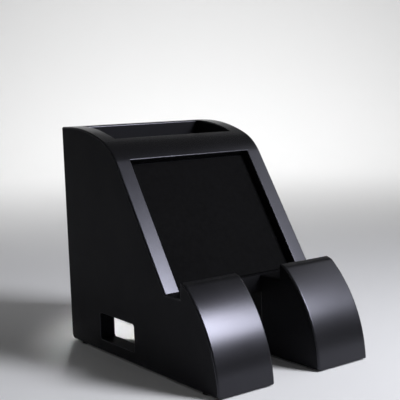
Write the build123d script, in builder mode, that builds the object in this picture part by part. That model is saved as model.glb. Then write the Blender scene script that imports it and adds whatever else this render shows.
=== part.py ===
from build123d import *
import os
from math import asin, atan2, cos, degrees, hypot, radians, sin, tan

os.makedirs("parts", exist_ok=True)

# A painted wooden desk stand: a pencil cup behind, a leaning phone rest in front of it, and two curved
# cradle arms that hold the lower edge of a phone. X runs across, +Y to the rear, +Z up.
# The origin is on the table, under the middle of the body.

# Body
body_width = 96
body_depth = 140
body_height = 122
board = 9                    # one stock thickness for every flat board
foot_height = 0.8            # thin pads
edge_radius = 1              # rounded outer edges
edge_bevel = 0.7             # bevelled edges along the arms' slot
cut_overrun = 5              # how far a cutting shape runs past what it cuts

# Side outline, from the rear top to the front
top_flat = 8                 # level stretch at the rear of the top edge
crown_radius = 100           # long gentle curve of the top
crown_sweep = 22             # degrees
shoulder_radius = 28         # tighter roll into the leaning front
heel_radius = 3              # lower rear corner

# Cradle that holds the phone's lower edge
ledge_height = 42            # ledge above the bottom of the body
lip_setback = 28.5           # rear wall of the lip behind the front of the body
slot_depth = 12.8            # level ledge between the lip and the leaning front
lip_height = 8.3             # top of the lip above the ledge
lip_crown = 4.5              # depth of the lip's nearly level top
lip_fall = 1.4               # and how far it falls to the front
lip_rear_radius = 1.2
lip_front_radius = 6
front_radius = 67.2          # the round fronts of the arms
arm_gap = 28.7               # open slot between the two arms
arm_depth = 44               # from the front of the body to the rear faces of the blocks

# Cup and the recessed rest in front of it
mouth_depth = 32.8           # clear opening of the cup, front to rear
rail_roll_short = 2.5        # degrees by which the rail's roll stops short of the leaning front
recess_depth = 4.5           # from the leaning front to the face of the liner
liner = 1
liner_margin = 0.5           # clear strip round the liner
rail_edge_radius = 0.5

# Cable openings
window_width = 34.7
window_height = 14.6
window_sill = 6.5            # above the bottom of the body
window_front = 71.5          # behind the front of the body
window_radius = 1.6
notch_width = 56
notch_height = 21.1
notch_radius = 3

# Dowels
dowel_diameter = 5
dowel_length = 18
dowel_in_face = 6            # the part of a dowel that sits in the face of a board
dowel_clearance = 0.1        # glue room round a dowel
dowel_end_gap = 0.5          # glue room past each end
dowel_flutes = 12
dowel_inset = 13             # first and last dowel of a row from the ends of its joint

# Feet
foot_diameter = 8
foot_inset = 12              # centre of a foot from the front or rear of the body

# Values that follow from the sizes above
half_width = body_width / 2
half_inner = half_width - board
inner_width = 2 * half_inner
front_y = -body_depth / 2
rear_y = body_depth / 2
base_z = foot_height
top_z = base_z + body_height
ledge_z = base_z + ledge_height
back_y = rear_y - board
mouth_y = back_y - mouth_depth
arm_rear_y = front_y + arm_depth
arm_width = (body_width - arm_gap) / 2
lip_y = front_y + lip_setback
lip_z = ledge_z + lip_height
lip_front_y = lip_y - lip_crown
lip_front_z = lip_z - lip_fall
rest_foot_y = lip_y + slot_depth
floor_z = ledge_z
floor_under_z = floor_z - board
hole_radius = dowel_diameter / 2 + dowel_clearance
dowel_in_edge = dowel_length - dowel_in_face
face_hole_depth = dowel_in_face + dowel_end_gap
edge_hole_depth = dowel_in_edge + dowel_end_gap

# Centre of the shoulder, and the slope of the leaning front, which runs from its foot to touch the shoulder
crown_start_y = rear_y - top_flat
shoulder_y = crown_start_y - (crown_radius - shoulder_radius) * sin(radians(crown_sweep))
shoulder_z = top_z - crown_radius + (crown_radius - shoulder_radius) * cos(radians(crown_sweep))
shoulder_reach = hypot(shoulder_y - rest_foot_y, shoulder_z - ledge_z)
rest_slope = degrees(
    atan2(shoulder_z - ledge_z, shoulder_y - rest_foot_y) + asin(shoulder_radius / shoulder_reach)
)
rail_end = radians(rest_slope - rail_roll_short)
rail_lip_y = shoulder_y - shoulder_radius * sin(rail_end)
rail_lip_z = shoulder_z + shoulder_radius * cos(rail_end)


def behind_rest(depth, rise):
    # A point in the side view: depth behind the leaning front, rise up along it from the rail's lip
    slope = radians(rest_slope)
    y = rail_lip_y + depth * sin(slope) + rise * cos(slope)
    z = rail_lip_z - depth * cos(slope) + rise * sin(slope)
    return y, z


def slope_at(depth, height):
    # The point at a given height on the plane that lies depth behind the leaning front
    y, z = behind_rest(depth, 0)
    return y - (z - height) / tan(radians(rest_slope)), height


def spread(first, last, count):
    # Evenly spaced places from first to last
    return [first + (last - first) * step / (count - 1) for step in range(count)]


# Dowel places. Those that run across, into the side panels, are points of the side view
back_row = spread(floor_z + dowel_inset, top_z - dowel_inset, 2)
back_dowel_spots = [(back_y + board / 2, z) for z in back_row]
floor_inset = edge_hole_depth + dowel_diameter
floor_row = spread(arm_rear_y + floor_inset, back_y - floor_inset, 2)
floor_dowel_spots = [(y, floor_z - board / 2) for y in floor_row]
rest_middle = recess_depth + liner + board / 2
rest_dowel_spots = [slope_at(rest_middle, floor_z + dowel_inset), behind_rest(rest_middle, -dowel_inset)]
rail_dowel_spots = [behind_rest(rest_middle, dowel_diameter)]
arm_dowel_y = (lip_y + arm_rear_y) / 2
arm_dowel_spots = [(arm_dowel_y, z) for z in spread(base_z + dowel_inset, ledge_z - dowel_inset, 2)]

# Those that run front to rear are points of the front view
arm_middle = (arm_gap / 2 + half_inner) / 2
arm_floor_spots = [(x, floor_z - board / 2) for x in (-arm_middle, arm_middle)]
back_floor_row = spread(-half_inner + dowel_inset, half_inner - dowel_inset, 2)
back_floor_spots = [(x, floor_z - board / 2) for x in back_floor_row]

# Side view of the body, shared by the side panels, the arms and the rail
with BuildSketch() as side_view:
    with BuildLine():
        rear_edge = Line((rear_y, base_z), (rear_y, top_z))
        top_edge = Line(rear_edge @ 1, (crown_start_y, top_z))
        crown = JernArc(top_edge @ 1, top_edge % 1, crown_radius, crown_sweep)
        shoulder = JernArc(crown @ 1, crown % 1, shoulder_radius, rest_slope - crown_sweep)
        rest = Line(shoulder @ 1, (rest_foot_y, ledge_z))
        ledge = Line(rest @ 1, (lip_y, ledge_z))
        lip = Line(ledge @ 1, (lip_y, lip_z))
        lip_top = Line(lip @ 1, (lip_front_y, lip_front_z))
        arm_front = RadiusArc(lip_top @ 1, (front_y, base_z), -front_radius)
        Line(arm_front @ 1, rear_edge @ 0)
    make_face()
    fillet(side_view.vertices().sort_by_distance((rear_y, base_z))[0], heel_radius)
    fillet(side_view.vertices().sort_by_distance((rear_y, top_z))[0], edge_radius)
    fillet(side_view.vertices().sort_by_distance((lip_y, lip_z))[0], lip_rear_radius)
    fillet(side_view.vertices().sort_by_distance((lip_front_y, lip_front_z))[0], lip_front_radius)

# Plain side board as it lies on the left, with blind dowel holes in its inner face
across_spots = back_dowel_spots + floor_dowel_spots + rest_dowel_spots + rail_dowel_spots + arm_dowel_spots

with BuildPart() as side_board:
    with BuildSketch(Plane.YZ.offset(-half_width)):
        add(side_view.sketch)
    extrude(amount=board)
    fillet(side_board.faces().sort_by(Axis.X)[0].edges(), edge_radius)
    with BuildSketch(Plane.YZ.offset(-half_inner)):
        with Locations(*across_spots):
            Circle(hole_radius)
    extrude(amount=-face_hole_depth, mode=Mode.SUBTRACT)

# Left side panel: the side board with the cable window
window_centre = (front_y + window_front + window_width / 2, base_z + window_sill + window_height / 2)

with BuildPart() as left_side_panel:
    add(side_board.part)
    with BuildSketch(Plane.YZ.offset(-half_width)):
        with Locations(window_centre):
            RectangleRounded(window_width, window_height, window_radius)
    extrude(amount=board, mode=Mode.SUBTRACT)

left_side_panel.part.label = "left_side_panel"
export_step(left_side_panel.part, "parts/left_side_panel.step")

# Right side panel: the mirror of the side board, with no window
with BuildPart() as right_side_panel:
    mirror(side_board.part, about=Plane.YZ)

right_side_panel.part.label = "right_side_panel"
export_step(right_side_panel.part, "parts/right_side_panel.step")

# Back panel between the sides, with the cable notch at its foot
with BuildPart() as back_panel:
    with BuildSketch(Plane.XZ.offset(-rear_y)):
        with Locations((0, base_z)):
            Rectangle(inner_width, body_height, align=(Align.CENTER, Align.MIN))
        with Locations((0, base_z + notch_height)):
            Rectangle(notch_width, notch_height, align=(Align.CENTER, Align.MAX), mode=Mode.SUBTRACT)
        fillet(vertices().group_by(Axis.Y)[1], notch_radius)
    extrude(amount=board)
    top_edges = back_panel.faces().sort_by(Axis.Z)[-1].edges().filter_by(Axis.X)
    fillet(top_edges, edge_radius)
    heel_edges = back_panel.faces().sort_by(Axis.Y)[-1].edges().group_by(Axis.Z)[0].filter_by(Axis.X)
    fillet(heel_edges, heel_radius)
    for end, inward in ((-half_inner, 1), (half_inner, -1)):
        with BuildSketch(Plane.YZ.offset(end)):
            with Locations(*back_dowel_spots):
                Circle(hole_radius)
        extrude(amount=inward * edge_hole_depth, mode=Mode.SUBTRACT)
    with BuildSketch(Plane.XZ.offset(-back_y)):
        with Locations(*back_floor_spots):
            Circle(hole_radius)
    extrude(amount=-face_hole_depth, mode=Mode.SUBTRACT)

back_panel.part.label = "back_panel"
export_step(back_panel.part, "parts/back_panel.step")

# Floor of the cup, which also closes the hollow base from above
with BuildPart() as cup_floor:
    with BuildSketch(Plane.XY.offset(floor_under_z)):
        with Locations((0, arm_rear_y)):
            Rectangle(inner_width, back_y - arm_rear_y, align=(Align.CENTER, Align.MIN))
    extrude(amount=board)
    for end, inward in ((-half_inner, 1), (half_inner, -1)):
        with BuildSketch(Plane.YZ.offset(end)):
            with Locations(*floor_dowel_spots):
                Circle(hole_radius)
        extrude(amount=inward * edge_hole_depth, mode=Mode.SUBTRACT)
    with BuildSketch(Plane.XZ.offset(-back_y)):
        with Locations(*back_floor_spots):
            Circle(hole_radius)
    extrude(amount=edge_hole_depth, mode=Mode.SUBTRACT)
    with BuildSketch(Plane.XZ.offset(-arm_rear_y)):
        with Locations(*arm_floor_spots):
            Circle(hole_radius)
    extrude(amount=-edge_hole_depth, mode=Mode.SUBTRACT)

cup_floor.part.label = "cup_floor"
export_step(cup_floor.part, "parts/cup_floor.step")

# Top rail: the rolled front edge of the cup. Its underside is square to the leaning front
rail_reach = (mouth_y - rail_lip_y) / sin(radians(rest_slope))

with BuildPart() as top_rail:
    with BuildSketch(Plane.YZ.offset(-half_inner)):
        add(side_view.sketch)
        with BuildLine(mode=Mode.PRIVATE) as rail_bounds:
            Polyline(
                behind_rest(-cut_overrun, 0),
                behind_rest(rail_reach, 0),
                (mouth_y, top_z + cut_overrun),
                (rail_lip_y - cut_overrun, top_z + cut_overrun),
                close=True,
            )
        make_face(rail_bounds.edges(), mode=Mode.INTERSECT)
    extrude(amount=inner_width)
    long_edges = top_rail.edges().filter_by(Axis.X)
    fillet(long_edges.sort_by_distance((0, rail_lip_y, rail_lip_z))[0], rail_edge_radius)
    fillet(top_rail.edges().filter_by(Axis.X).sort_by(Axis.Z)[-1], edge_radius)
    for end, inward in ((-half_inner, 1), (half_inner, -1)):
        with BuildSketch(Plane.YZ.offset(end)):
            with Locations(*rail_dowel_spots):
                Circle(hole_radius)
        extrude(amount=inward * edge_hole_depth, mode=Mode.SUBTRACT)

top_rail.part.label = "top_rail"
export_step(top_rail.part, "parts/top_rail.step")

# Leaning rest panel, set back between the sides. It stands on the cup floor and meets the rail above
rest_face = recess_depth + liner

with BuildPart() as rest_panel:
    with BuildSketch(Plane.YZ.offset(-half_inner)):
        with BuildLine():
            Polyline(
                behind_rest(rest_face, 0),
                behind_rest(rest_face + board, 0),
                slope_at(rest_face + board, floor_z),
                slope_at(rest_face, floor_z),
                close=True,
            )
        make_face()
    extrude(amount=inner_width)
    for end, inward in ((-half_inner, 1), (half_inner, -1)):
        with BuildSketch(Plane.YZ.offset(end)):
            with Locations(*rest_dowel_spots):
                Circle(hole_radius)
        extrude(amount=inward * edge_hole_depth, mode=Mode.SUBTRACT)

rest_panel.part.label = "rest_panel"
export_step(rest_panel.part, "parts/rest_panel.step")

# Thin soft liner glued to the rest panel
with BuildPart() as recess_liner:
    with BuildSketch(Plane.YZ.offset(-half_inner + liner_margin)):
        with BuildLine():
            Polyline(
                behind_rest(recess_depth, -liner_margin),
                behind_rest(rest_face, -liner_margin),
                slope_at(rest_face, floor_z + liner_margin),
                slope_at(recess_depth, floor_z + liner_margin),
                close=True,
            )
        make_face()
    extrude(amount=inner_width - 2 * liner_margin)

recess_liner.part.label = "recess_liner"
export_step(recess_liner.part, "parts/recess_liner.step")

# Left cradle block: the thick inner part of the arm, flush with the side panel's outline
with BuildPart() as left_cradle_block:
    with BuildSketch(Plane.YZ.offset(-half_inner)):
        add(side_view.sketch)
        with BuildLine(mode=Mode.PRIVATE) as arm_bounds:
            Polyline(
                (front_y - cut_overrun, base_z - cut_overrun),
                (arm_rear_y, base_z - cut_overrun),
                (arm_rear_y, ledge_z),
                (lip_y, ledge_z),
                (lip_y, lip_z + cut_overrun),
                (front_y - cut_overrun, lip_z + cut_overrun),
                close=True,
            )
        make_face(arm_bounds.edges(), mode=Mode.INTERSECT)
    extrude(amount=arm_width - board)
    gap_face = left_cradle_block.faces().sort_by(Axis.X)[-1]
    chamfer(gap_face.edges(), edge_bevel)
    with BuildSketch(Plane.YZ.offset(-half_inner)):
        with Locations(*arm_dowel_spots):
            Circle(hole_radius)
    extrude(amount=edge_hole_depth, mode=Mode.SUBTRACT)
    with BuildSketch(Plane.XZ.offset(-arm_rear_y)):
        with Locations(arm_floor_spots[0]):
            Circle(hole_radius)
    extrude(amount=face_hole_depth, mode=Mode.SUBTRACT)

left_cradle_block.part.label = "left_cradle_block"
export_step(left_cradle_block.part, "parts/left_cradle_block.step")

# Right cradle block, the mirror of the left
with BuildPart() as right_cradle_block:
    mirror(left_cradle_block.part, about=Plane.YZ)

right_cradle_block.part.label = "right_cradle_block"
export_step(right_cradle_block.part, "parts/right_cradle_block.step")

# Rows of dowels that run across, from each side panel into the piece that it carries
across_rows = {
    "back_panel_dowels": back_dowel_spots,
    "cup_floor_dowels": floor_dowel_spots,
    "rest_panel_dowels": rest_dowel_spots,
    "top_rail_dowels": rail_dowel_spots,
    "cradle_dowels": arm_dowel_spots,
}
for name, spots in across_rows.items():
    with BuildPart() as dowel_row:
        with BuildSketch(Plane.YZ.offset(-half_inner - dowel_in_face)):
            with Locations(*spots):
                RegularPolygon(dowel_diameter / 2, dowel_flutes)
        extrude(amount=dowel_length)
        mirror(about=Plane.YZ)
    dowel_row.part.label = name
    export_step(dowel_row.part, f"parts/{name}.step")

# Rows that run front to rear, at the two long edges of the cup floor
lengthwise_rows = {
    "cradle_floor_dowels": (arm_floor_spots, arm_rear_y - dowel_in_face),
    "back_floor_dowels": (back_floor_spots, back_y - dowel_in_edge),
}
for name, (spots, start_y) in lengthwise_rows.items():
    with BuildPart() as dowel_row:
        with BuildSketch(Plane.XZ.offset(-start_y)):
            with Locations(*spots):
                RegularPolygon(dowel_diameter / 2, dowel_flutes)
        extrude(amount=-dowel_length)
    dowel_row.part.label = name
    export_step(dowel_row.part, f"parts/{name}.step")

# Four round feet under the side panels
foot_x = half_width - board / 2
foot_front_y = front_y + foot_inset
foot_rear_y = rear_y - foot_inset
foot_spots = {
    "front_left_foot": (-foot_x, foot_front_y),
    "front_right_foot": (foot_x, foot_front_y),
    "rear_left_foot": (-foot_x, foot_rear_y),
    "rear_right_foot": (foot_x, foot_rear_y),
}
for name, spot in foot_spots.items():
    with BuildPart() as foot:
        with BuildSketch():
            with Locations(spot):
                Circle(foot_diameter / 2)
        extrude(amount=foot_height)
    foot.part.label = name
    export_step(foot.part, f"parts/{name}.step")
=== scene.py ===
from math import cos, radians, sin

import bmesh
import bpy
from mathutils import Matrix, Vector


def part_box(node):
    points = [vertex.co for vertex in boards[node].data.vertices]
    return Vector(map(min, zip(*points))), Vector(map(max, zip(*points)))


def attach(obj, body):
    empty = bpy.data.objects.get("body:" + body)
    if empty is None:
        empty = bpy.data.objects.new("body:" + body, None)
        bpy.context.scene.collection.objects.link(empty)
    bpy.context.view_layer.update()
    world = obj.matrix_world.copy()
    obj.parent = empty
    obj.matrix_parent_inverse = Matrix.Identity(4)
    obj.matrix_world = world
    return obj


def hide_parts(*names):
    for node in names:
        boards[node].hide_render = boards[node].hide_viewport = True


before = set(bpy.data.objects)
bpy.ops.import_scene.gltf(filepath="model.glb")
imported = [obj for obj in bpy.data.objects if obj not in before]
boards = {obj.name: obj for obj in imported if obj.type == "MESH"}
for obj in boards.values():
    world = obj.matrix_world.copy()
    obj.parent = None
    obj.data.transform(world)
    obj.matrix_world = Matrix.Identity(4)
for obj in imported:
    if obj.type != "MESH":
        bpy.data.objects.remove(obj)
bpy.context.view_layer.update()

bpy.ops.object.select_all(action="DESELECT")
bpy.context.scene.view_settings.view_transform = "Standard"
print("frame loaded with", len(boards), "pieces")

# camera at the photograph's place
shot = {
    "place": (-0.2816, -0.3835, 0.1399),
    "azimuth": -35.89,
    "elevation": 6.92,
    "roll": -1.94,
    "lens": 80.3,
    "sensor": 36.0,
    "nearest": 0.01,
    "farthest": 500,
}
turn, lift, tilt = (radians(shot[key]) for key in ("azimuth", "elevation", "roll"))
backward = Vector((sin(turn) * cos(lift), -cos(turn) * cos(lift), sin(lift)))
sideways = Vector((cos(turn), sin(turn), 0))
upward = backward.cross(sideways)
tiltedSide = cos(tilt) * sideways + sin(tilt) * upward
tiltedUp = -sin(tilt) * sideways + cos(tilt) * upward
bpy.ops.object.camera_add()
camera = bpy.context.active_object
camera.name = "shotCamera"
cameraTurn = Matrix((tiltedSide, tiltedUp, backward)).transposed()
camera.matrix_world = Matrix.Translation(shot["place"]) @ cameraTurn.to_4x4()
camera.data.lens = shot["lens"]
camera.data.sensor_width = shot["sensor"]
camera.data.clip_start = shot["nearest"]
camera.data.clip_end = shot["farthest"]
bpy.context.scene.camera = camera
print("camera set")


# small helpers for modelling
modelling = {
    "weldReach": 0.000002,
    "flatAngle": 0.05,  # faces that turn less than this become one flat
    "sharpAngle": 25,  # edges that turn more than this can be rounded
    "shadeAngle": 35,
}


def pickOnly(piece):
    bpy.ops.object.select_all(action="DESELECT")
    piece.select_set(True)
    bpy.context.view_layer.objects.active = piece


def weldedCopy(boardName, pieceName):
    # a copy of a board with its loose faces joined and its flats cleaned, ready for hand finishing
    piece = bpy.data.objects.new(pieceName, boards[boardName].data.copy())
    bpy.context.scene.collection.objects.link(piece)
    pickOnly(piece)
    bpy.ops.mesh.customdata_custom_splitnormals_clear()
    bpy.ops.object.mode_set(mode="EDIT")
    bpy.ops.mesh.select_all(action="SELECT")
    bpy.ops.mesh.remove_doubles(threshold=modelling["weldReach"])
    bpy.ops.mesh.dissolve_limited(angle_limit=radians(modelling["flatAngle"]))
    bpy.ops.object.mode_set(mode="OBJECT")
    return piece


def cutAcross(piece, place, direction):
    # puts an edge line round the piece, where an edge treatment has to stop
    pickOnly(piece)
    bpy.ops.object.mode_set(mode="EDIT")
    bpy.ops.mesh.select_all(action="SELECT")
    bpy.ops.mesh.bisect(plane_co=place, plane_no=direction)
    bpy.ops.object.mode_set(mode="OBJECT")


def roundEdges(piece, width, steps, isExposed):
    # rounds the sharp edges whose two ends both pass the test
    pickOnly(piece)
    bpy.ops.object.mode_set(mode="EDIT")
    bpy.ops.mesh.select_mode(type="EDGE")
    bpy.ops.mesh.select_all(action="DESELECT")
    shape = bmesh.from_edit_mesh(piece.data)
    leastTurn = radians(modelling["sharpAngle"])
    picked = 0
    for edge in shape.edges:
        sharp = edge.is_manifold and edge.calc_face_angle(0) > leastTurn
        wanted = sharp and all(isExposed(point.co) for point in edge.verts)
        edge.select_set(wanted)
        picked += wanted
    bmesh.update_edit_mesh(piece.data)
    if picked:
        bpy.ops.mesh.bevel(offset=width, segments=steps, affect="EDGES", loop_slide=False)
        bpy.ops.mesh.select_all(action="SELECT")
        bpy.ops.mesh.remove_doubles(threshold=modelling["weldReach"])
    bpy.ops.object.mode_set(mode="OBJECT")
    print("  rounded", picked, "edges of", piece.name)


def smoothPiece(piece, shadeAngle=modelling["shadeAngle"], isCrease=None):
    # smooth shading, with a crease kept where a round-over ends in a face
    pickOnly(piece)
    bpy.ops.object.shade_smooth_by_angle(angle=radians(shadeAngle))
    if isCrease:
        points = piece.data.vertices
        for edge in piece.data.edges:
            if isCrease(*(points[index].co for index in edge.vertices)):
                edge.use_edge_sharp = True
    even = piece.modifiers.new("even", "WEIGHTED_NORMAL")
    even.keep_sharp = True
    bpy.ops.object.modifier_apply(modifier="even")


# small helpers for materials
firstValue, secondValue, mixedValue = 2, 3, 0  # places of a mix node's sockets
firstColour, secondColour, mixedColour = 6, 7, 2


def addNode(tree, kind, spot, **settings):
    node = tree.nodes.new(kind)
    node.location = spot
    for name, value in settings.items():
        setattr(node, name, value)
    return node


def setInputs(node, values):
    for label, value in values.items():
        node.inputs[label].default_value = value


def newGroup(name, inputs, outputs):
    # an input without a value gets one where the group is placed
    group = bpy.data.node_groups.new(name, "ShaderNodeTree")
    for label, kind, value in inputs:
        socket = group.interface.new_socket(label, in_out="INPUT", socket_type=kind)
        if value is not None:
            socket.default_value = value
    for label, kind in outputs:
        group.interface.new_socket(label, in_out="OUTPUT", socket_type=kind)
    start = addNode(group, "NodeGroupInput", (-900, 0))
    end = addNode(group, "NodeGroupOutput", (700, 0))
    return group, start, end


def placeGroup(tree, group, spot, values=None):
    node = addNode(tree, "ShaderNodeGroup", spot, node_tree=group)
    setInputs(node, values or {})
    return node


def addTones(tree, spot, *tones):
    # a ramp with one tone at each place
    ramp = addNode(tree, "ShaderNodeValToRGB", spot)
    for element, (place, colour) in zip(ramp.color_ramp.elements, tones):
        element.position = place
        element.color = colour
    return ramp


def newMaterial(name):
    material = bpy.data.materials.new(name)
    material.use_nodes = True
    tree = material.node_tree
    shader = tree.nodes["Principled BSDF"]
    where = addNode(tree, "ShaderNodeTexCoord", (-1200, 0))
    return material, tree, shader, where


def dress(piece, material):
    piece.data.materials.clear()
    piece.data.materials.append(material)


def dressFaces(piece, material, isWanted):
    # gives the faces that pass the test a material of their own
    piece.data.materials.append(material)
    for face in piece.data.polygons:
        if isWanted(face):
            face.material_index = len(piece.data.materials) - 1


# shared surface effect: the fine uneven skin of sprayed paint, as a height
paintSkin = {
    "fineScale": 900.0,
    "fineDetail": 2.0,
    "broadScale": 160.0,
    "broadDetail": 1.0,
    "broadShare": 0.5,
}


def buildPeelGroup():
    group, start, end = newGroup(
        "paintPeel",
        [
            ("Vector", "NodeSocketVector", None),
            ("Fine Scale", "NodeSocketFloat", paintSkin["fineScale"]),
            ("Broad Scale", "NodeSocketFloat", paintSkin["broadScale"]),
            ("Broad Share", "NodeSocketFloat", paintSkin["broadShare"]),
        ],
        [("Height", "NodeSocketFloat")],
    )
    fine = addNode(group, "ShaderNodeTexNoise", (-600, 200))
    setInputs(fine, {"Detail": paintSkin["fineDetail"]})
    broad = addNode(group, "ShaderNodeTexNoise", (-600, -150))
    setInputs(broad, {"Detail": paintSkin["broadDetail"]})
    blend = addNode(group, "ShaderNodeMix", (0, 0), data_type="FLOAT")
    group.links.new(start.outputs["Vector"], fine.inputs["Vector"])
    group.links.new(start.outputs["Vector"], broad.inputs["Vector"])
    group.links.new(start.outputs["Fine Scale"], fine.inputs["Scale"])
    group.links.new(start.outputs["Broad Scale"], broad.inputs["Scale"])
    group.links.new(start.outputs["Broad Share"], blend.inputs["Factor"])
    group.links.new(fine.outputs["Fac"], blend.inputs[firstValue])
    group.links.new(broad.outputs["Fac"], blend.inputs[secondValue])
    group.links.new(blend.outputs[mixedValue], end.inputs["Height"])
    return group


# shared surface effect: faint smudges left by hands and wiping, as a roughness
handMarks = {
    "detail": 4.0,
    "raggedness": 0.6,
    "smear": 0.6,
    "polishedBelow": 0.3,
    "dullAbove": 0.7,
}


def buildHandlingGroup():
    group, start, end = newGroup(
        "handling",
        [
            ("Vector", "NodeSocketVector", None),
            ("Scale", "NodeSocketFloat", None),
            ("Polished", "NodeSocketFloat", None),
            ("Dull", "NodeSocketFloat", None),
        ],
        [("Roughness", "NodeSocketFloat")],
    )
    cloud = addNode(group, "ShaderNodeTexNoise", (-600, 0))
    setInputs(cloud, {
        "Detail": handMarks["detail"],
        "Roughness": handMarks["raggedness"],
        "Distortion": handMarks["smear"],
    })
    spread = addNode(group, "ShaderNodeMapRange", (0, 0))
    setInputs(spread, {
        "From Min": handMarks["polishedBelow"],
        "From Max": handMarks["dullAbove"],
    })
    group.links.new(start.outputs["Vector"], cloud.inputs["Vector"])
    group.links.new(start.outputs["Scale"], cloud.inputs["Scale"])
    group.links.new(cloud.outputs["Fac"], spread.inputs["Value"])
    group.links.new(start.outputs["Polished"], spread.inputs["To Min"])
    group.links.new(start.outputs["Dull"], spread.inputs["To Max"])
    group.links.new(spread.outputs["Result"], end.inputs["Roughness"])
    return group


# shared surface effect: a few pale specks and a thin film of dust, as a mask
fineDust = {
    "speckScale": 420.0,
    "speckSize": 0.09,
    "patchScale": 60.0,
    "patchDetail": 3.0,
    "cleanBelow": 0.48,
    "dustyAbove": 0.72,
}


def buildDustGroup():
    group, start, end = newGroup(
        "dust",
        [
            ("Vector", "NodeSocketVector", None),
            ("Speck Scale", "NodeSocketFloat", fineDust["speckScale"]),
            ("Speck Size", "NodeSocketFloat", fineDust["speckSize"]),
            ("Film", "NodeSocketFloat", None),
        ],
        [("Mask", "NodeSocketFloat")],
    )
    cells = addNode(group, "ShaderNodeTexVoronoi", (-650, 200))
    inSpeck = addNode(group, "ShaderNodeMath", (-420, 200), operation="LESS_THAN")
    patches = addNode(group, "ShaderNodeTexNoise", (-650, -150))
    setInputs(patches, {"Scale": fineDust["patchScale"], "Detail": fineDust["patchDetail"]})
    sparse = addNode(group, "ShaderNodeMapRange", (-420, -150))
    setInputs(sparse, {"From Min": fineDust["cleanBelow"], "From Max": fineDust["dustyAbove"]})
    specks = addNode(group, "ShaderNodeMath", (-150, 150), operation="MULTIPLY")
    film = addNode(group, "ShaderNodeMath", (-150, -150), operation="MULTIPLY")
    total = addNode(group, "ShaderNodeMath", (150, 0), operation="MAXIMUM")
    for texture in (cells, patches):
        group.links.new(start.outputs["Vector"], texture.inputs["Vector"])
    group.links.new(start.outputs["Speck Scale"], cells.inputs["Scale"])
    group.links.new(cells.outputs["Distance"], inSpeck.inputs[0])
    group.links.new(start.outputs["Speck Size"], inSpeck.inputs[1])
    group.links.new(patches.outputs["Fac"], sparse.inputs["Value"])
    group.links.new(inSpeck.outputs["Value"], specks.inputs[0])
    group.links.new(sparse.outputs["Result"], specks.inputs[1])
    group.links.new(sparse.outputs["Result"], film.inputs[0])
    group.links.new(start.outputs["Film"], film.inputs[1])
    group.links.new(specks.outputs["Value"], total.inputs[0])
    group.links.new(film.outputs["Value"], total.inputs[1])
    group.links.new(total.outputs["Value"], end.inputs["Mask"])
    return group


peelGroup = buildPeelGroup()
handlingGroup = buildHandlingGroup()
dustGroup = buildDustGroup()
print("surface effects built")

# satin black paint over the boards
satinBlack = {
    "colour": (0.0035, 0.0035, 0.0038, 1),
    "dustColour": (0.007, 0.007, 0.0076, 1),
    "sheen": (0.85, 0.85, 1.0, 1),
    "film": 0.1,
    "markScale": 45.0,
    "skinStrength": 0.04,
    "skinHeight": 0.0002,
}
# the round faces are rubbed smooth, the flats are duller and the cut faces dullest
paintFinishes = {
    "satinPaint": {"gloss": 0.55, "polished": 0.245, "dull": 0.27},
    "broadPaint": {"gloss": 0.2, "polished": 0.5, "dull": 0.56},
    "cutPaint": {"gloss": 0.2, "polished": 0.6, "dull": 0.7},
}
# grey-black rubber of the feet, dustier than the paint
footRubber = {
    "colour": (0.012, 0.012, 0.012, 1),
    "dustColour": (0.06, 0.058, 0.055, 1),
    "sheen": (1, 1, 1, 1),
    "film": 0.4,
    "markScale": 300.0,
    "skinStrength": 0.2,
    "skinHeight": 0.0001,
}
rubberFinish = {"gloss": 0.3, "polished": 0.6, "dull": 0.8}


def makeCoat(name, coat, finish):
    # dusty colour, hand marks and a fine skin, as the paint and the rubber both have
    material, tree, shader, where = newMaterial(name)
    setInputs(shader, {"Specular IOR Level": finish["gloss"], "Specular Tint": coat["sheen"]})
    dusting = placeGroup(tree, dustGroup, (-700, 300), {"Film": coat["film"]})
    tint = addNode(tree, "ShaderNodeMix", (-350, 300), data_type="RGBA")
    tint.inputs[firstColour].default_value = coat["colour"]
    tint.inputs[secondColour].default_value = coat["dustColour"]
    smudges = placeGroup(tree, handlingGroup, (-700, 0), {
        "Scale": coat["markScale"],
        "Polished": finish["polished"],
        "Dull": finish["dull"],
    })
    skin = placeGroup(tree, peelGroup, (-700, -300))
    bump = addNode(tree, "ShaderNodeBump", (-350, -300))
    setInputs(bump, {"Strength": coat["skinStrength"], "Distance": coat["skinHeight"]})
    for effect in (dusting, smudges, skin):
        tree.links.new(where.outputs["Object"], effect.inputs["Vector"])
    tree.links.new(dusting.outputs["Mask"], tint.inputs["Factor"])
    tree.links.new(tint.outputs[mixedColour], shader.inputs["Base Color"])
    tree.links.new(smudges.outputs["Roughness"], shader.inputs["Roughness"])
    tree.links.new(skin.outputs["Height"], bump.inputs["Height"])
    tree.links.new(bump.outputs["Normal"], shader.inputs["Normal"])
    return material


# dull black felt in the recess
blackFelt = {
    "deep": (0.0035, 0.0035, 0.0037, 1),
    "pale": (0.0065, 0.0065, 0.007, 1),
    "gloss": 0.04,
    "roughness": 0.95,
    "fibreScale": 1500.0,
    "fibreTwist": 2.5,
    "matScale": 420.0,
    "matShare": 0.45,
    "detail": 3.0,
    "deepBelow": 0.35,
    "paleAbove": 0.68,
    "bumpStrength": 0.4,
    "bumpHeight": 0.0003,
}


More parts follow.
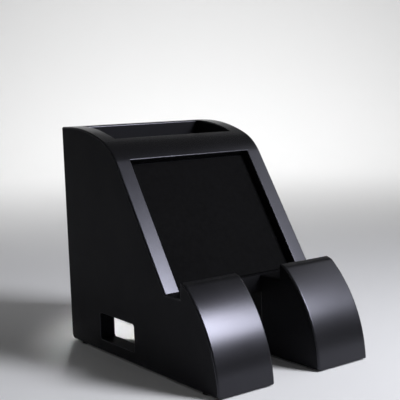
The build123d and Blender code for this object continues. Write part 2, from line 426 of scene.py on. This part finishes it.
def makeFelt():
    material, tree, shader, where = newMaterial("blackFelt")
    setInputs(shader, {
        "Specular IOR Level": blackFelt["gloss"],
        "Roughness": blackFelt["roughness"],
    })
    fibres = addNode(tree, "ShaderNodeTexNoise", (-900, 200))
    setInputs(fibres, {
        "Scale": blackFelt["fibreScale"],
        "Detail": blackFelt["detail"],
        "Distortion": blackFelt["fibreTwist"],
    })
    matted = addNode(tree, "ShaderNodeTexNoise", (-900, -150))
    setInputs(matted, {"Scale": blackFelt["matScale"], "Detail": blackFelt["detail"]})
    blend = addNode(tree, "ShaderNodeMix", (-600, 0), data_type="FLOAT")
    setInputs(blend, {"Factor": blackFelt["matShare"]})
    tone = addTones(
        tree, (-350, 200),
        (blackFelt["deepBelow"], blackFelt["deep"]),
        (blackFelt["paleAbove"], blackFelt["pale"]),
    )
    bump = addNode(tree, "ShaderNodeBump", (-350, -200))
    setInputs(bump, {"Strength": blackFelt["bumpStrength"], "Distance": blackFelt["bumpHeight"]})
    for texture in (fibres, matted):
        tree.links.new(where.outputs["Object"], texture.inputs["Vector"])
    tree.links.new(fibres.outputs["Fac"], blend.inputs[firstValue])
    tree.links.new(matted.outputs["Fac"], blend.inputs[secondValue])
    tree.links.new(blend.outputs[mixedValue], tone.inputs["Fac"])
    tree.links.new(tone.outputs["Color"], shader.inputs["Base Color"])
    tree.links.new(blend.outputs[mixedValue], bump.inputs["Height"])
    tree.links.new(bump.outputs["Normal"], shader.inputs["Normal"])
    return material


# bare beech of the dowels, with the grain along each dowel
beech = {
    "pale": (0.55, 0.36, 0.2, 1),
    "dark": (0.38, 0.22, 0.11, 1),
    "across": (40.0, 900.0, 900.0),
    "lengthwise": (900.0, 40.0, 900.0),
    "detail": 4.0,
    "darkBelow": 0.3,
    "paleAbove": 0.65,
    "roughness": (0.5, 0.65),
    "grainStrength": 0.2,
    "grainHeight": 0.0001,
}


def makeBeech(name, stretch):
    material, tree, shader, where = newMaterial(name)
    along = addNode(tree, "ShaderNodeMapping", (-1000, 0))
    setInputs(along, {"Scale": stretch})
    grain = addNode(tree, "ShaderNodeTexNoise", (-800, 0))
    setInputs(grain, {"Scale": 1.0, "Detail": beech["detail"]})  # the stretch sets the scale
    tone = addTones(
        tree, (-400, 200),
        (beech["darkBelow"], beech["dark"]),
        (beech["paleAbove"], beech["pale"]),
    )
    sheen = addNode(tree, "ShaderNodeMapRange", (-400, -100))
    setInputs(sheen, {"To Min": beech["roughness"][0], "To Max": beech["roughness"][1]})
    bump = addNode(tree, "ShaderNodeBump", (-400, -350))
    setInputs(bump, {"Strength": beech["grainStrength"], "Distance": beech["grainHeight"]})
    tree.links.new(where.outputs["Object"], along.inputs["Vector"])
    tree.links.new(along.outputs["Vector"], grain.inputs["Vector"])
    tree.links.new(grain.outputs["Fac"], tone.inputs["Fac"])
    tree.links.new(grain.outputs["Fac"], sheen.inputs["Value"])
    tree.links.new(grain.outputs["Fac"], bump.inputs["Height"])
    tree.links.new(tone.outputs["Color"], shader.inputs["Base Color"])
    tree.links.new(sheen.outputs["Result"], shader.inputs["Roughness"])
    tree.links.new(bump.outputs["Normal"], shader.inputs["Normal"])
    return material


satinPaint, broadPaint, cutPaint = (
    makeCoat(name, satinBlack, finish) for name, finish in paintFinishes.items()
)
felt = makeFelt()
rubber = makeCoat("footRubber", footRubber, rubberFinish)
beechAcross = makeBeech("beechAcross", beech["across"])
beechLengthwise = makeBeech("beechLengthwise", beech["lengthwise"])
print("materials built")

# places that the boards share
railLow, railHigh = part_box("top_rail")
backLow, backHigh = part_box("back_panel")
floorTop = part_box("cup_floor")[1].z
linerLow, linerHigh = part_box("recess_liner")
lean = radians(57.0)  # of the rest panel
outOfRecess = Vector((0, -sin(lean), cos(lean)))
upSlope = Vector((0, cos(lean), sin(lean)))
feltFoot = Vector((0, linerLow.y, linerLow.z))
railUnder = Vector((0, railHigh.y, railLow.z))
innerX = backHigh.x
near = 0.00002  # points within this of a place are on it
# a face is square to an axis where its normal reaches further along it than the first,
# and stands along it where the normal reaches less than the second
squareOn, sideOn = 0.99, 0.5

# side panels: the flush joints stay sharp, the open edges are eased
sidePanel = {
    "stripRound": 0.0006,
    "windowRound": 0.0004,
    "steps": 3,
    "footReach": 0.012,  # the strip's edge goes this far in front of the felt
    "mouthDrop": 0.001,
    "endReach": 0.0012,
    "endLength": 0.0009,
    "windowLow": (0.001, 0.0065),
    "windowHigh": (0.037, 0.0227),
}
stripFoot = linerLow.y - sidePanel["footReach"]


def onStrip(point):
    # inner edge of the strip beside the recess, from the ledge to the rail,
    # clear of the dowel holes behind the felt
    atInner = abs(abs(point.x) - innerX) < near
    inFront = (point - feltFoot).dot(outOfRecess) > 0
    belowRail = (point - railUnder).dot(upSlope) < near
    aboveLedge = point.y > stripFoot - near and point.z > floorTop - near
    return atInner and inFront and belowRail and aboveLedge


def onMouth(point):
    # inner edge of the cup's mouth, from the rail to the back panel
    atInner = abs(abs(point.x) - innerX) < near
    inDepth = railHigh.y - near < point.y < backLow.y + near
    return atInner and inDepth and point.z > railHigh.z - sidePanel["mouthDrop"]


def onWindow(point):
    inDepth = sidePanel["windowLow"][0] < point.y < sidePanel["windowHigh"][0]
    return inDepth and sidePanel["windowLow"][1] < point.z < sidePanel["windowHigh"][1]


def endsRounding(start, end):
    # short edges across the ends of the round-overs
    middle = (start + end) / 2
    atInner = abs(abs(middle.x) - innerX) < sidePanel["stripRound"] + near
    places = (stripTop, railHigh.y, backLow.y)
    atEnd = any(abs(middle.y - place) < sidePanel["endReach"] for place in places)
    isShort = (start - end).length < sidePanel["endLength"]
    return atInner and atEnd and isShort and middle.z > floorTop + sidePanel["stripRound"]


def isBroad(face):
    # the flat of a board, outside or inside, and the edge that is flush with the back panel
    return abs(face.normal.x) > squareOn or face.normal.y > squareOn


def inWindow(face):
    return onWindow(face.center) and abs(face.normal.x) < sideOn


painted = []
for side in ("left", "right"):
    piece = weldedCopy(f"{side}_side_panel", f"{side}SideBoard")
    cutAcross(piece, railUnder, upSlope)
    cutAcross(piece, (0, railHigh.y, 0), (0, 1, 0))
    cutAcross(piece, (0, backLow.y, 0), (0, 1, 0))
    stripTop = max(point.co.y for point in piece.data.vertices if onStrip(point.co))
    roundEdges(piece, sidePanel["stripRound"], sidePanel["steps"], onStrip)
    roundEdges(piece, sidePanel["stripRound"], sidePanel["steps"], onMouth)
    roundEdges(piece, sidePanel["windowRound"], sidePanel["steps"], onWindow)
    smoothPiece(piece, isCrease=endsRounding)
    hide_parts(f"{side}_side_panel")
    dress(piece, satinPaint)
    dressFaces(piece, broadPaint, isBroad)
    dressFaces(piece, cutPaint, inWindow)
    painted.append(piece)
print("side panels finished")

# arms: the bevels along the slot become small round-overs
arm = {"round": 0.00047, "steps": 4, "slotReach": 0.0009}
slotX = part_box("right_cradle_block")[0].x


def onSlot(point):
    return abs(point.x) < slotX + arm["slotReach"]


for side in ("left", "right"):
    piece = weldedCopy(f"{side}_cradle_block", f"{side}Arm")
    roundEdges(piece, arm["round"], arm["steps"], onSlot)
    smoothPiece(piece)
    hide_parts(f"{side}_cradle_block")
    dress(piece, satinPaint)
    dressFaces(piece, broadPaint, isBroad)
    painted.append(piece)
print("arms finished")

# back panel: the cable notch is eased on both faces
backBoard = {"round": 0.0005, "steps": 3, "halfNotch": 0.0285, "notchTop": 0.0228}


def onNotch(point):
    return abs(point.x) < backBoard["halfNotch"] and point.z < backBoard["notchTop"]


def isBackFlat(face):
    return abs(face.normal.y) > squareOn


def inNotch(face):
    return onNotch(face.center) and abs(face.normal.y) < sideOn


piece = weldedCopy("back_panel", "backBoard")
roundEdges(piece, backBoard["round"], backBoard["steps"], onNotch)
smoothPiece(piece)
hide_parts("back_panel")
dress(piece, satinPaint)
dressFaces(piece, broadPaint, isBackFlat)
dressFaces(piece, cutPaint, inNotch)
painted.append(piece)
print("back panel finished")

for piece in painted:
    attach(piece, "root")

# the boards, feet and dowels that keep their plain shapes
dress(boards["top_rail"], satinPaint)
for name in ("cup_floor", "rest_panel"):
    dress(boards[name], broadPaint)
for name in boards:
    if name.endswith("_foot"):
        dress(boards[name], rubber)
    elif name in ("cradle_floor_dowels", "back_floor_dowels"):
        dress(boards[name], beechLengthwise)
    elif name.endswith("_dowels"):
        dress(boards[name], beechAcross)
print("plain boards, feet and dowels dressed")

# felt in the recess: one cut sheet, laid on the leaning board
feltSheet = {
    "thickness": 0.00085,
    "sag": 0.00005,
    "cloudSize": 0.012,
    "cloudDepth": 2,
    "edgeRound": 0.0003,
    "edgeSteps": 2,
    "edgeAngle": 50,
    "shadeAngle": 60,
    "columns": 64,
    "rows": 60,
    "linerThickness": 0.001,  # the room that it has over the rest panel
    "sink": 0.0001,
}
topY = linerHigh.y - feltSheet["linerThickness"] * sin(lean)
feltWidth = linerHigh.x - linerLow.x
feltLength = (linerHigh.z - linerLow.z) / sin(lean)

bpy.ops.object.select_all(action="DESELECT")
bpy.ops.mesh.primitive_grid_add(
    x_subdivisions=feltSheet["columns"], y_subdivisions=feltSheet["rows"], size=1
)
sheet = bpy.context.active_object
sheet.name = "recessFelt"
bpy.ops.object.mode_set(mode="EDIT")
bpy.ops.mesh.select_all(action="SELECT")
bpy.ops.transform.resize(value=(feltWidth, feltLength, 1))
bpy.ops.object.mode_set(mode="OBJECT")
unevenness = bpy.data.textures.new("feltUnevenness", "CLOUDS")
unevenness.noise_scale = feltSheet["cloudSize"]
unevenness.noise_depth = feltSheet["cloudDepth"]
lay = sheet.modifiers.new("lay", "DISPLACE")
lay.texture = unevenness
lay.texture_coords = "LOCAL"
lay.strength = feltSheet["sag"]
bpy.ops.object.modifier_apply(modifier="lay")
body = sheet.modifiers.new("body", "SOLIDIFY")
body.thickness = feltSheet["thickness"]
body.offset = -1
bpy.ops.object.modifier_apply(modifier="body")
edge = sheet.modifiers.new("edge", "BEVEL")
edge.width = feltSheet["edgeRound"]
edge.segments = feltSheet["edgeSteps"]
edge.angle_limit = radians(feltSheet["edgeAngle"])
bpy.ops.object.modifier_apply(modifier="edge")
slopeMiddle = Vector((0, (topY + linerLow.y) / 2, (linerHigh.z + linerLow.z) / 2))
slopeMiddle -= feltSheet["sink"] * outOfRecess
for point in sheet.data.vertices:
    across, up, out = point.co
    point.co = slopeMiddle + Vector((across, 0, 0)) + up * upSlope + out * outOfRecess
smoothPiece(sheet, feltSheet["shadeAngle"])
dress(sheet, felt)
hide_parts("recess_liner")
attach(sheet, "root")
print("felt laid, cut", round(feltWidth, 4), "by", round(feltLength, 4))

# pale studio: a round floor that rolls up into a low wall
studioCove = {
    "sides": 96,
    "floorRadius": 1.1,
    "weldReach": 0.0001,
    "roll": 0.5,
    "rollSteps": 12,
    "wallTop": 1.5,
    "colour": (0.84, 0.84, 0.84, 1),
    "roughness": 0.9,
    "gloss": 0.1,
}


def raiseRim(rise):
    bpy.ops.mesh.extrude_edges_move(TRANSFORM_OT_translate={"value": (0, 0, rise)})


bpy.ops.object.select_all(action="DESELECT")
bpy.ops.mesh.primitive_circle_add(
    vertices=studioCove["sides"], radius=studioCove["floorRadius"], fill_type="NOTHING"
)
cove = bpy.context.active_object
cove.name = "studioCove"
bpy.ops.object.mode_set(mode="EDIT")
bpy.ops.mesh.select_mode(type="EDGE")
bpy.ops.mesh.select_all(action="SELECT")
bpy.ops.mesh.extrude_edges_move()
bpy.ops.transform.resize(value=(0, 0, 0))
bpy.ops.mesh.remove_doubles(threshold=studioCove["weldReach"])
bpy.ops.mesh.select_all(action="DESELECT")
shape = bmesh.from_edit_mesh(cove.data)
for edge in shape.edges:
    edge.select_set(edge.is_boundary)
bmesh.update_edit_mesh(cove.data)
rim, height = studioCove["floorRadius"], 0.0
for step in range(1, studioCove["rollSteps"] + 1):
    bend = radians(90 * step / studioCove["rollSteps"])
    nextRim = studioCove["floorRadius"] + studioCove["roll"] * sin(bend)
    nextHeight = studioCove["roll"] * (1 - cos(bend))
    raiseRim(nextHeight - height)
    bpy.ops.transform.resize(value=(nextRim / rim, nextRim / rim, 1))
    rim, height = nextRim, nextHeight
raiseRim(studioCove["wallTop"] - height)
bpy.ops.mesh.select_all(action="SELECT")
bpy.ops.mesh.normals_make_consistent(inside=True)
bpy.ops.object.mode_set(mode="OBJECT")
bpy.ops.object.shade_smooth()
palePaper = bpy.data.materials.new("paleCove")
palePaper.use_nodes = True
setInputs(palePaper.node_tree.nodes["Principled BSDF"], {
    "Base Color": studioCove["colour"],
    "Roughness": studioCove["roughness"],
    "Specular IOR Level": studioCove["gloss"],
})
dress(cove, palePaper)
print("studio built")

# soft boxes: a key at the front right, a broad one at the right, one for the cove
# and a small one behind, for the floor that shows through the window
lamps = {
    "key": {
        "place": (0.461, -0.752, 0.612), "towards": (0.06, -0.16, 0.02),
        "size": (0.35, 0.385), "power": 1.66, "spread": 60, "colour": (0.93, 0.94, 1.0),
    },
    "side": {
        "place": (0.855, -0.347, 0.66), "towards": (0.1, -0.1, 0.05),
        "size": (0.8, 0.5), "power": 0.5, "spread": 110, "colour": (0.95, 0.955, 1.0),
    },
    "backdrop": {
        "place": (0.4, 0.55, 1.25), "towards": (0.74, 1.02, 0.0),
        "size": (0.8, 0.4), "power": 5.0, "spread": 90, "colour": (1.0, 1.0, 1.0),
    },
    "rear": {
        "place": (0.22, 0.47, 0.33), "towards": (-0.015, 0.064, 0.0),
        "size": (0.05, 0.05), "power": 0.016, "spread": 9, "colour": (1.0, 1.0, 1.0),
    },
}
for name, lamp in lamps.items():
    bpy.ops.object.light_add(type="AREA", location=lamp["place"])
    light = bpy.context.active_object
    light.name = name + "Lamp"
    light.data.shape = "RECTANGLE"
    light.data.size, light.data.size_y = lamp["size"]
    light.data.energy = lamp["power"]
    light.data.spread = radians(lamp["spread"])
    light.data.color = lamp["colour"]
    away = Vector(lamp["place"]) - Vector(lamp["towards"])
    light.rotation_mode = "QUATERNION"
    light.rotation_quaternion = away.to_track_quat("Z", "Y")

roomLight = 0.08
world = bpy.data.worlds.new("studio")
bpy.context.scene.world = world
world.use_nodes = True
setInputs(world.node_tree.nodes["Background"], {"Color": (roomLight, roomLight, roomLight, 1)})
print("lights set")
